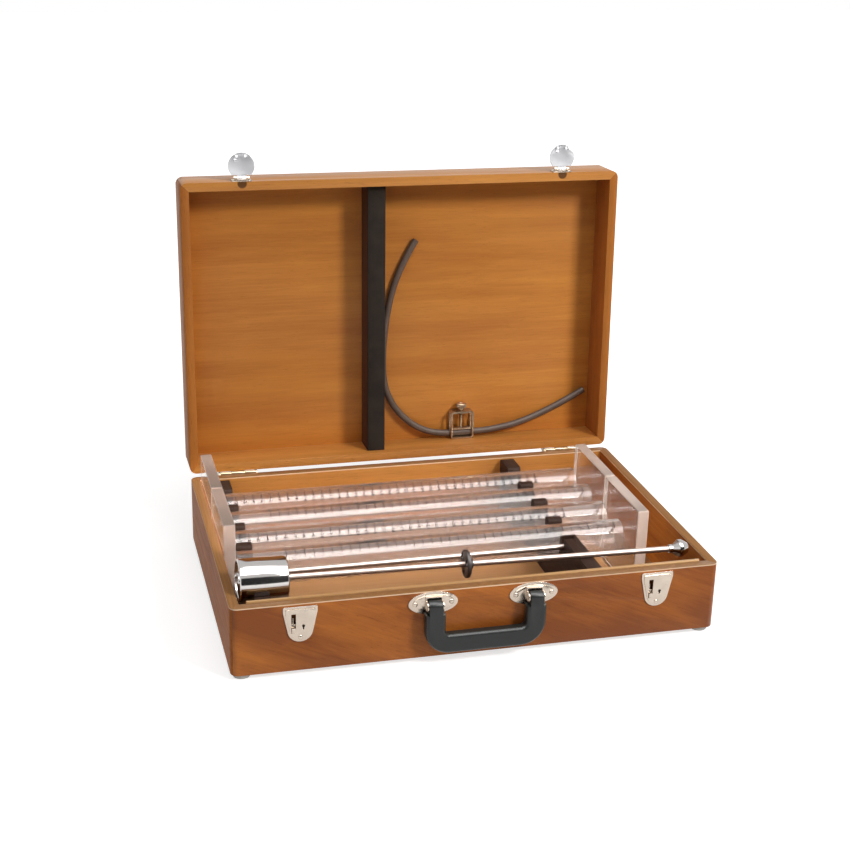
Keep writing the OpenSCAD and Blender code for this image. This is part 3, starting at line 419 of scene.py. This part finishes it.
def plastic(name, colour, roughness, grain=900, depth=0.04 * MM, specular=0.5):
    """Moulded plastic, rubber or felt with a fine surface grain and faint blotches."""
    p = Paint(name, specular_ior_level=specular)
    blotch = p.remap(p.noise(p.place, MOTTLES, 3), 0.3, 0.7)
    fine = p.noise(p.place, grain, 2, 0.6)
    p.colour(p.mix(blotch, colour, shade(colour, 0.72)))
    p.set("Roughness", p.remap(fine, 0.3, 0.7, roughness - 0.06, roughness + 0.06))
    p.bump(fine, depth, 0.5)
    return p.material


# Pieces and meshes


def new_piece(name, mesh, material, body, node=None):
    """An object for a mesh, with its material and body, and the node it stands for."""
    piece = linked(name, mesh)
    mesh.materials.append(material)
    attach(piece, body)
    if node:
        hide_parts(node)
    return piece


def dress(node, material, ease):
    """Gives a carried node its material, and eases its edges so that they catch the light."""
    piece = frame["nodes"][node]
    piece.data.materials.clear()
    piece.data.materials.append(material)
    weld = piece.modifiers.new("weld", "WELD")
    weld.merge_threshold = 1e-6
    flat = piece.modifiers.new("flat", "DECIMATE")
    flat.decimate_type = "DISSOLVE"
    flat.angle_limit = math.radians(0.5)
    bevel = piece.modifiers.new("ease", "BEVEL")
    bevel.width = ease
    bevel.segments = 2
    bevel.limit_method = "ANGLE"
    bevel.angle_limit = math.radians(30)
    bevel.harden_normals = True
    piece.data.polygons.foreach_set("use_smooth", [True] * len(piece.data.polygons))


def mesh_from(name, points, faces, sharp=None):
    """A mesh from points and faces, smooth but for edges that turn more than sharp degrees."""
    mesh = bpy.data.meshes.new(name)
    mesh.from_pydata([tuple(p) for p in points], [], faces)
    mesh.validate()
    bm = bmesh.new()
    bm.from_mesh(mesh)
    bmesh.ops.remove_doubles(bm, verts=bm.verts, dist=1e-7)
    bmesh.ops.recalc_face_normals(bm, faces=bm.faces)
    bm.to_mesh(mesh)
    bm.free()
    if sharp is not None:
        mesh.polygons.foreach_set("use_smooth", [True] * len(mesh.polygons))
        mesh.set_sharp_from_angle(angle=math.radians(sharp))
    return mesh


def bridge(one, two, around):
    """Faces between two rings of corners, each given by its first corner's number."""
    steps = range(around)
    return [(one + k, one + (k + 1) % around, two + (k + 1) % around, two + k) for k in steps]


def slab(name, outline, low_x, high_x, ease):
    """A plate across X with eased edges; its rim takes the second material, its faces the first."""
    layers = [(low_x, ease), (low_x + ease, 0), (high_x - ease, 0), (high_x, ease)]
    points, faces = [], []
    count = len(outline)
    middle_y = sum(y for y, _ in outline) / count
    middle_z = sum(z for _, z in outline) / count
    reach = max(abs(y - middle_y) for y, _ in outline)
    for x, inset in layers:
        k = 1 - inset / reach
        points += [(x, middle_y + (y - middle_y) * k, middle_z + (z - middle_z) * k)
                   for y, z in outline]
    for i in range(len(layers) - 1):
        faces += bridge(i * count, (i + 1) * count, count)
    faces += [tuple(range(count)), tuple(range(3 * count, 4 * count))]
    mesh = mesh_from(name, points, faces, sharp=20)
    for face in mesh.polygons:
        face.material_index = 0 if abs(face.normal.x) > 0.9 else 1
    return mesh


def round_square(centre_y, centre_z, half, radius, steps=6):
    """Outline of a square with rounded corners, as (y, z) points."""
    points = []
    for quarter in range(4):
        turn = quarter * math.pi / 2
        for k in range(steps + 1):
            a = k * math.pi / 2 / steps
            y = half - radius + radius * math.cos(a)
            z = half - radius + radius * math.sin(a)
            points.append((centre_y + y * math.cos(turn) - z * math.sin(turn),
                           centre_z + y * math.sin(turn) + z * math.cos(turn)))
    return points


def lathe(name, profile, origin, axis, steps, sharp=32, knurl=None):
    """A solid of revolution: profile is (distance along the axis, radius) from the origin.

    knurl is (least radius, depth): every second step of rings above that radius lies deeper.
    """
    along = Vector(axis).normalized()
    side = along.cross(Vector((0, 0, 1)) if abs(along.z) < 0.9 else Vector((1, 0, 0))).normalized()
    other = along.cross(side)
    rings, points, faces = [], [], []
    for distance, radius in profile:
        centre = Vector(origin) + along * distance
        if radius < 1e-7:
            rings.append([len(points)])
            points.append(centre)
            continue
        rings.append(list(range(len(points), len(points) + steps)))
        for k in range(steps):
            a = 2 * math.pi * k / steps
            r = radius - knurl[1] if knurl and radius > knurl[0] and k % 2 else radius
            points.append(centre + r * (math.cos(a) * side + math.sin(a) * other))
    for one, two in zip(rings, rings[1:]):
        for k in range(steps):
            corners = ((one, k), (one, k + 1), (two, k + 1), (two, k))
            unique = list(dict.fromkeys(ring[i % len(ring)] for ring, i in corners))
            if len(unique) > 2:
                faces.append(unique)
    return mesh_from(name, points, faces, sharp=sharp)


def turned_piece(name, profile, origin, axis, material, body, slot, node, steps=128, **edges):
    """A turned piece that stands for a node, from a profile in millimetres."""
    metres = [(distance * MM, radius * MM) for distance, radius in profile]
    mesh = lathe(name, metres, origin, axis, steps, **edges)
    return new_piece(name, mesh, material, body, node)


# Hose and clamp


def smooth_route(route, parts):
    """Points of a smooth curve through a route, with a number of parts for each stretch."""
    ends = [route[0] * 2 - route[1], *route, route[-1] * 2 - route[-2]]
    points = []
    for a, b, c, d in zip(ends, ends[1:], ends[2:], ends[3:]):
        for k in range(parts):
            t = k / parts
            points.append(0.5 * (2 * b + (c - a) * t + (2 * a - 5 * b + 4 * c - d) * t ** 2
                                 + (3 * b - a - 3 * c + d) * t ** 3))
    return points + [route[-1]]


def tube_along(name, path, radius, bore, depth):
    """A hose along a path, closed except for a bore of some depth in each end."""
    side = (path[1] - path[0]).cross(Vector((0, 1, 0))).normalized()
    frames = []
    for i, point in enumerate(path):
        along = (path[min(i + 1, len(path) - 1)] - path[max(i - 1, 0)]).normalized()
        side = (side - side.dot(along) * along).normalized()
        frames.append((point, along, side, along.cross(side)))
    first, last = frames[0], frames[-1]
    ease = radius * 0.12
    start = [(depth, 0), (depth, bore), (0, bore), (0, radius - ease), (ease, radius)]
    rings = [(first, ahead, r) for ahead, r in start]
    rings += [(f, 0, radius) for f in frames[1:-1]]
    rings += [(last, -ahead, r) for ahead, r in reversed(start)]
    points, faces = [], []
    for (point, along, one, two), ahead, r in rings:
        centre = point + along * ahead
        for k in range(HOSE_SIDES):
            a = 2 * math.pi * k / HOSE_SIDES
            points.append(centre + r * (math.cos(a) * one + math.sin(a) * two))
    for i in range(len(rings) - 1):
        faces += bridge(i * HOSE_SIDES, (i + 1) * HOSE_SIDES, HOSE_SIDES)
    return mesh_from(name, points, faces, sharp=40)


def make_clamp_screw(material):
    """The screw of the clamp: neck, thread, collar and knurled knob."""
    axis = (on_lid(0, 1, 0) - on_lid(0, 0, 0)).normalized()
    reach = [v.co.dot(axis) for v in frame["nodes"]["clamp_screw"].data.vertices]
    centre = middle("clamp_screw")
    start = centre + axis * (min(reach) - centre.dot(axis))
    head = (max(reach) - min(reach)) / MM - HEAD_L
    r, knob = SCREW_D / 2, KNOB_D / 2
    root, neck = r - THREAD_DEPTH, r - 2 * THREAD_DEPTH
    profile = [(0, 0), (0, neck - 0.2), (0.2, neck), (1.4, neck), (1.4, root)]
    for k in range(int((head - 2.4) / THREAD_PITCH)):
        low = 1.6 + k * THREAD_PITCH
        profile += [(low, root), (low + 0.3, r), (low + 0.4, r), (low + THREAD_PITCH, root)]
    collar = [(0, r - 0.1), (0, COLLAR_R - 0.3), (0.3, COLLAR_R), (2.4, COLLAR_R)]
    grip = [(2.4, knob - 1), (3.1, knob), (7, knob), (7.7, knob - 1), (7.5, 2.6), (7.1, 2.2),
            (7.1, 0)]
    profile += [(head + ahead, radius) for ahead, radius in collar + grip]
    return turned_piece("clamp_screw_knurled", profile, start, axis, material, "clamp_screw",
                        "clamp_brass", "clamp_screw", 72, sharp=25,
                        knurl=((knob - 0.6) * MM, KNURL_DEPTH * MM))


def make_hose():
    """The rubber siphon hose, and the clamp that sits on it."""
    route = [on_lid(x * MM, up * MM, out * MM) for x, up, out in HOSE_ROUTE]
    path = smooth_route(route, HOSE_PARTS)
    rubber = plastic("hose_rubber", (0.125, 0.085, 0.064), 0.5, 700, 0.03 * MM, specular=0.25)
    mesh = tube_along("siphon_hose", path, HOSE_D / 2, HOSE_BORE_R, HOSE_BORE_DEPTH)
    hose = new_piece("siphon_hose", mesh, rubber, "case_lid", "hose")
    brass = metal("brass", (0.46, 0.35, 0.24), 0.3)
    for node in ("clamp_frame", "clamp_jaw"):
        dress(node, brass, 0.3 * MM)
    nodes = frame["nodes"]
    clamp = [nodes["clamp_frame"], nodes["clamp_jaw"], make_clamp_screw(brass)]


# Graduated cylinders


class Tube:
    """A cylinder's foot, direction and radius, from the boxes of its two nodes."""

    def __init__(self, key):
        low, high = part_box("cylinder_tube_" + key)
        right_way = middle("cylinder_base_" + key).x < low.x
        foot_x = low.x if right_way else high.x
        self.along = Vector((1 if right_way else -1, 0, 0))
        self.foot = Vector((foot_x, (low.y + high.y) / 2, (low.z + high.z) / 2))
        self.radius = (high.z - low.z) / 2
        self.length = high.x - low.x

    def point(self, distance, angle, rise=0.0):
        """A point of the wall, at an angle up from the front."""
        out = Vector((0, -math.cos(angle), math.sin(angle)))
        return self.foot + self.along * distance + out * (self.radius + rise)


def make_tube(key, tube, material):
    """The clear tube, with eased edges at its ends."""
    inner, outer, end, ease = TUBE_BORE / 2, tube.radius, tube.length, TUBE_EASE
    profile = [(0, inner), (0, outer - ease), (ease, outer), (end - ease, outer),
               (end, outer - ease), (end, inner + ease), (end - ease, inner), (0, inner)]
    mesh = lathe("graduated_tube_" + key, profile, tube.foot, tube.along, 128)
    piece = new_piece("graduated_tube_" + key, mesh, material, "cylinder_" + key,
                      "cylinder_tube_" + key)
    # The tube casts no shadow; the case floor's colour is darkened as painted shade instead
    piece.visible_shadow = False


def mark(tube, distance, size, points, faces):
    """Adds one line of the scale round the front of a tube as a thin closed strip."""
    width, half_arc = size
    start = len(points)
    for k in range(MARK_PARTS + 1):
        angle = SCALE_ANGLE + half_arc * (2 * k / MARK_PARTS - 1)
        for rise, side in ((0, -1), (0, 1), (MARK_RISE, 1), (MARK_RISE, -1)):
            points.append(tube.point(distance + side * width / 2, angle, rise))
    for k in range(MARK_PARTS):
        faces += bridge(start + 4 * k, start + 4 * k + 4, 4)
    faces.append(tuple(start + i for i in range(4)))
    faces.append(tuple(start + 4 * MARK_PARTS + i for i in reversed(range(4))))


def digit_shapes():
    """The ten figures as thin closed meshes of the built-in type: points and faces of each."""
    shapes = []
    for figure in "0123456789":
        curve = bpy.data.curves.new("figure", "FONT")
        curve.body = figure
        curve.size = DIGIT_H
        curve.extrude = MARK_RISE / 2
        curve.offset = DIGIT_BOLD
        curve.resolution_u = 2
        text = linked("figure", curve)
        bpy.context.view_layer.update()
        mesh = text.to_mesh()
        shapes.append(([v.co.copy() for v in mesh.vertices],
                       [tuple(f.vertices) for f in mesh.polygons]))
        text.to_mesh_clear()
        bpy.data.objects.remove(text)
        bpy.data.curves.remove(curve)
    return shapes


def number(tube, value, shapes, points, faces):
    """Adds a number beside a long mark, upright when the tube stands on its plate."""
    pen = DIGIT_START
    base = value * SCALE_LONG * MM - DIGIT_DROP
    for figure in str(value):
        corners, polygons = shapes[int(figure)]
        start = len(points)
        for c in corners:
            turn = -tube.along.x * (pen + c.x) / tube.radius
            points.append(tube.point(base + c.y, SCALE_ANGLE + turn, c.z + MARK_RISE / 2))
        faces.extend(tuple(start + i for i in f) for f in polygons)
        pen += DIGIT_PITCH


def make_scale(key, tube, material, shapes):
    """The scale on a tube: a short line every step, a long one with its number every tenth."""
    points, faces = [], []
    for at in range(SCALE_LONG, SCALE_LAST + 1, SCALE_STEP):
        long = at % SCALE_LONG == 0
        mark(tube, at * MM, LONG_MARK if long else SHORT_MARK, points, faces)
        if long:
            number(tube, at // SCALE_LONG, shapes, points, faces)
    mesh = mesh_from("scale_" + key, points, faces)
    new_piece("scale_" + key, mesh, material, "cylinder_" + key)


def make_plate(key, material, sawn):
    """The clear foot plate, with sawn edges."""
    node = "cylinder_base_" + key
    low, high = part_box(node)
    half = (high.z - low.z) / 2
    outline = round_square((low.y + high.y) / 2, (low.z + high.z) / 2, half, PLATE_ROUND)
    mesh = slab("foot_plate_" + key, outline, low.x, high.x, PLATE_EASE)
    piece = new_piece("foot_plate_" + key, mesh, material, "cylinder_" + key,
                      node)
    mesh.materials.append(sawn)
    # The plate casts no shadow; the case floor's colour is darkened as painted shade instead
    piece.visible_shadow = False


def make_cylinders():
    """Clear tubes with a black filled scale, on their clear plates."""
    clear = acrylic("acrylic_tube", (0.84, 0.78, 0.75), 0.03, 0.96)
    plate = acrylic("acrylic_plate", (0.92, 0.87, 0.84), 0.02, 0.96)
    sawn = acrylic("acrylic_sawn", (0.89, 0.745, 0.66), 0.28, 0.7)
    ink = plastic("scale_ink", (0.025, 0.022, 0.025), 0.8, specular=0.05)
    shapes = digit_shapes()
    for key in "abcd":
        tube = Tube(key)
        make_tube(key, tube, clear)
        make_scale(key, tube, ink, shapes)
        make_plate(key, plate, sawn)


# Case, metal and plastic


def make_case():
    """Materials and eased edges for the boards, panels, racks and feet."""
    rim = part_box("base_front")[1].z
    low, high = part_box("lid_front")
    hasps = [middle("hasp_left").x, middle("hasp_right").x]
    # The thumb notches under the hasps are painted as dark shade on the lid's front board
    shaded_notches = [(x, low.y, high.z - NOTCH_DOWN) for x in hasps]
    quarter = math.pi / 2
    along_x, along_y, up_lid = (0, 0, 0), (0, 0, quarter), (0, quarter, 0)
    slant = (0, math.radians(-24), 0)
    satin = {"gloss": 0.5, "shine": 0.06}
    matt = {"gloss": 0.6, "shine": 0.08}
    felt = plastic("bar_felt", (0.030, 0.022, 0.017), 0.9, 2500, 0.1 * MM, specular=0.1)
    looks = (
        (wood("case_front", RED, slant, 0.95, rim=rim, figure_size=(3.5, 15)), ["base_front"]),
        (wood("case_long", TAN, along_x, 0.6, rim=rim, shift=(0.3, 0.1, 0.7)), ["base_back"]),
        (wood("case_short", RED, along_y, 0.6, rim=rim, **satin), ["base_left", "base_right"]),
        (wood("lid_long", TAN, along_x), ["lid_back"]),
        (wood("lid_front", TAN, along_x, shift=(0.2, 0.3, 0.1), shaded_notches=shaded_notches), ["lid_front"]),
        (wood("lid_short", LID_ENDS_SHADED, up_lid, **satin), ["lid_left", "lid_right"]),
        (wood("lid_ply", LID_PLY, along_x, pores=0.3, figure_size=(2.8, 44)), ["lid_panel"]),
        (wood("floor_ply", FLOOR_PLY_SHADED, along_x), ["base_floor"]),
        (wood("lip_wood", LIP, along_x, 0.4), ["front_lip"]),
        (wood("rack_wood", RACK, along_y, **matt), ["rack_left", "rack_right"]),
        (wood("bar_wood", BAR, up_lid, **matt), ["hold_down_bar"]),
        (felt, ["bar_pad"]),
        (plastic("foot_plastic", (0.62, 0.60, 0.56), 0.5, 500), ["feet"]),
    )
    for material, nodes in looks:
        for node in nodes:
            dress(node, material, 0.5 * MM)


def make_metal():
    """Materials for the fittings, and the turned pieces of metal."""
    nickel = metal("nickel", (0.53, 0.45, 0.375), 0.24)
    zinc = metal("zinc", (0.42, 0.33, 0.22), 0.4)
    chrome = metal("chrome", (0.50, 0.48, 0.465), 0.12, wear=0.03)
    steel = metal("steel", (0.56, 0.465, 0.41), 0.42, (4, 400, 400))
    plated = metal("plated", (0.61, 0.61, 0.63), 0.36)
    for node in frame["nodes"]:
        if node in ("hasp_left", "hasp_right"):
            dress(node, plated, 0.25 * MM)
        elif node.startswith(("lock_", "hasp_", "handle_p", "handle_r")):
            dress(node, nickel, 0.25 * MM)
        elif node.startswith("hinge_"):
            dress(node, zinc, 0.2 * MM)
    dress("indicator_screw", steel, 0.2 * MM)
    make_weight(chrome, steel)
    make_irrigator(steel)


def make_weight(chrome, steel):
    """The chromed weight with its recessed hub, the rod, and the foot with its rim and cones."""
    rod, weight = middle("weight_rod"), middle("weight")
    axis = (rod - weight).normalized()
    low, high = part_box("weight_rod")
    rod_r = ROD_D / 2
    rod_l = (high.x - low.x - ROD_D * MM * abs(axis.z)) / axis.x / MM
    start = rod - axis * rod_l / 2 * MM
    body = "weighted_foot"
    r, e = WEIGHT_D / 2, 0.4
    end = [(0, rod_r), (0, HUB_R - e), (e, HUB_R), (1.6, HUB_R + 0.3), (1.6, r - 3.2),
           (0, r - 2.6), (0, r - 1.5), (0.35, r - 0.8), (0.8, r - 0.35), (1.5, r)]
    profile = [*end, *((WEIGHT_L - d, q) for d, q in reversed(end)), end[0]]
    turned_piece("turned_weight", profile, start, axis, chrome, body, "weight_chrome", "weight",
                 192)
    inside = rod_r - 0.05
    shaft = [(0.3, 0), (0.3, rod_r - 0.7), (0.8, inside), (rod_l - 0.5, inside),
             (rod_l - 0.1, rod_r - 0.6), (rod_l - 0.1, 0)]
    turned_piece("turned_rod", shaft, start, axis, steel, body, "rod_steel", "weight_rod", 64)
    tip_r, tip, neck = TIP_D / 2, TIP_L, rod_r + 1.65
    foot = [(ROD_IN_TIP, 0), (ROD_IN_TIP, rod_r), (0, rod_r), (0, rod_r + 1.2), (0.5, neck),
            (3.4, neck), (3.7, rod_r + 1.3), (4.1, rod_r + 1.3), (4.4, neck),
            (tip - 11, tip_r - 0.7), (tip - 10.6, tip_r - 0.15), (tip - 10, tip_r),
            (tip - 6.4, tip_r), (tip - 5.9, tip_r - 0.2), (tip - 0.3, tip_r - 3.4),
            (tip, tip_r - 3.7), (tip, 0)]
    foot_start = start + axis * (rod_l - ROD_IN_TIP) * MM
    turned_piece("turned_foot", foot, foot_start, axis, chrome, body, "foot_chrome", "weight_foot")


def make_irrigator(steel):
    """The thin stainless tube, with an open end and a drawn tip."""
    low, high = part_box("irrigator_tube")
    r, length = (high.z - low.z) / 2 / MM, (high.x - low.x) / MM
    start = Vector((low.x, (low.y + high.y) / 2, (low.z + high.z) / 2))
    bore = r * 0.72
    profile = [(14, 0), (14, bore), (0.3, bore), (0, bore + 0.15), (0, r - 0.25), (0.25, r),
               (length - 9, r), (length - 3, r * 0.8), (length - 0.8, r * 0.55),
               (length, r * 0.3), (length, 0)]
    turned_piece("drawn_irrigator", profile, start, (1, 0, 0), steel, "irrigator", "rod_steel",
                 "irrigator_tube", 48)


def make_plastic():
    """Materials for the handle and the indicator."""
    black = plastic("handle_plastic", (0.016, 0.0185, 0.017), 0.38, 1200, specular=0.35)
    dress("handle", black, 0.3 * MM)
    dress("sand_indicator", plastic("indicator_nylon", (0.045, 0.03, 0.025), 0.45), 0.2 * MM)


SCENE.view_settings.view_transform = "Standard"
make_camera()
make_hose()
for lamp in LIGHTS:
    area_light(*lamp)
make_card()
make_world()
make_floor()
make_cylinders()
make_case()
make_metal()
make_plastic()
